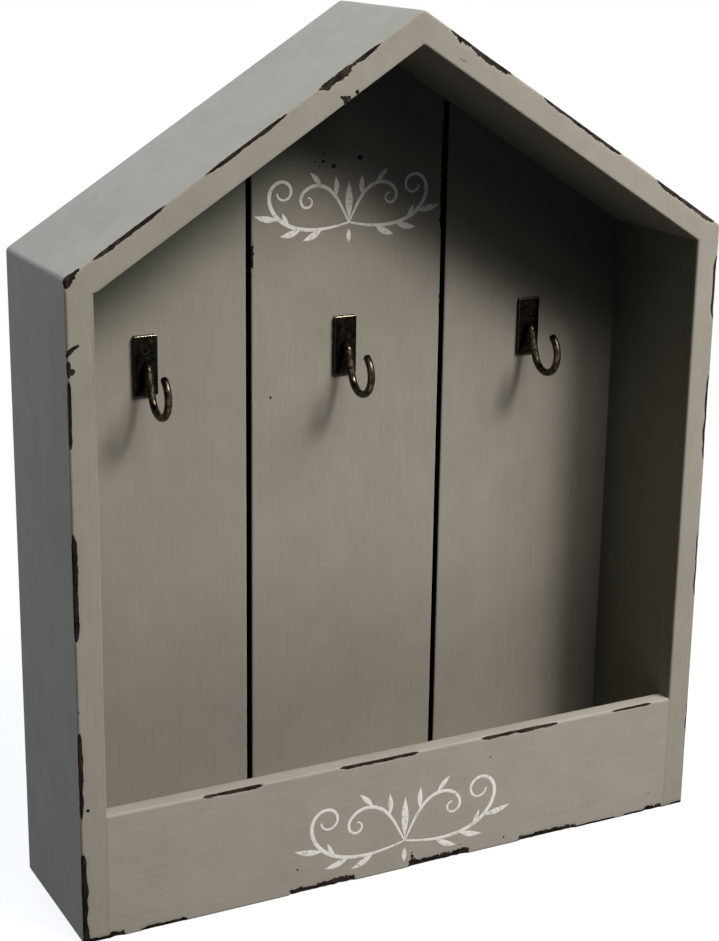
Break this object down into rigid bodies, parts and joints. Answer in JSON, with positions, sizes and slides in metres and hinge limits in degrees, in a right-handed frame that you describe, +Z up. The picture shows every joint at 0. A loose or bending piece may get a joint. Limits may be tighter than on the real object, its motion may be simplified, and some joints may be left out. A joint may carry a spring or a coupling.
{
  "type": "wall mail organizer",
  "caption": "House-shaped wooden wall organizer with a low letter pocket at its foot and wire key hooks on its back planks.",
  "frame": {"origin": "middle of the base, half-way through the depth", "axes": "+Z up, +Y to the back where the wall is, +X to the viewer's right"},
  "size_m": [0.25, 0.06, 0.3097],
  "materials": {
    "frame_paint": "matt taupe paint over wood board, chipped along the edges down to a dark undercoat",
    "plank_paint": "matt grey-brown paint over wood board, worn at the edges",
    "hook_bronze": "dark antique bronze, rubbed bright on the wire",
    "fastener_steel": "zinc-plated steel"
  },
  "bodies": {
    "root": {"left_wall": "frame_paint", "right_wall": "frame_paint", "left_roof": "frame_paint", "right_roof": "frame_paint", "front_board": "frame_paint", "bottom_board": "frame_paint", "back_plank_left": "plank_paint", "back_plank_middle": "plank_paint", "back_plank_right": "plank_paint", "hook_plate_left": "hook_bronze", "hook_plate_middle": "hook_bronze", "hook_plate_right": "hook_bronze", "hook_wire_left": "hook_bronze", "hook_wire_middle": "hook_bronze", "hook_wire_right": "hook_bronze", "hook_screw_left": "hook_bronze", "hook_screw_middle": "hook_bronze", "hook_screw_right": "hook_bronze", "hanger_plate_left": "fastener_steel", "hanger_plate_right": "fastener_steel", "hanger_screws_left": "fastener_steel", "hanger_screws_right": "fastener_steel", "wall_brads_left": "fastener_steel", "wall_brads_right": "fastener_steel", "roof_brads_left": "fastener_steel", "roof_brads_right": "fastener_steel", "plank_brads": "fastener_steel"}
  },
  "joints": []
}
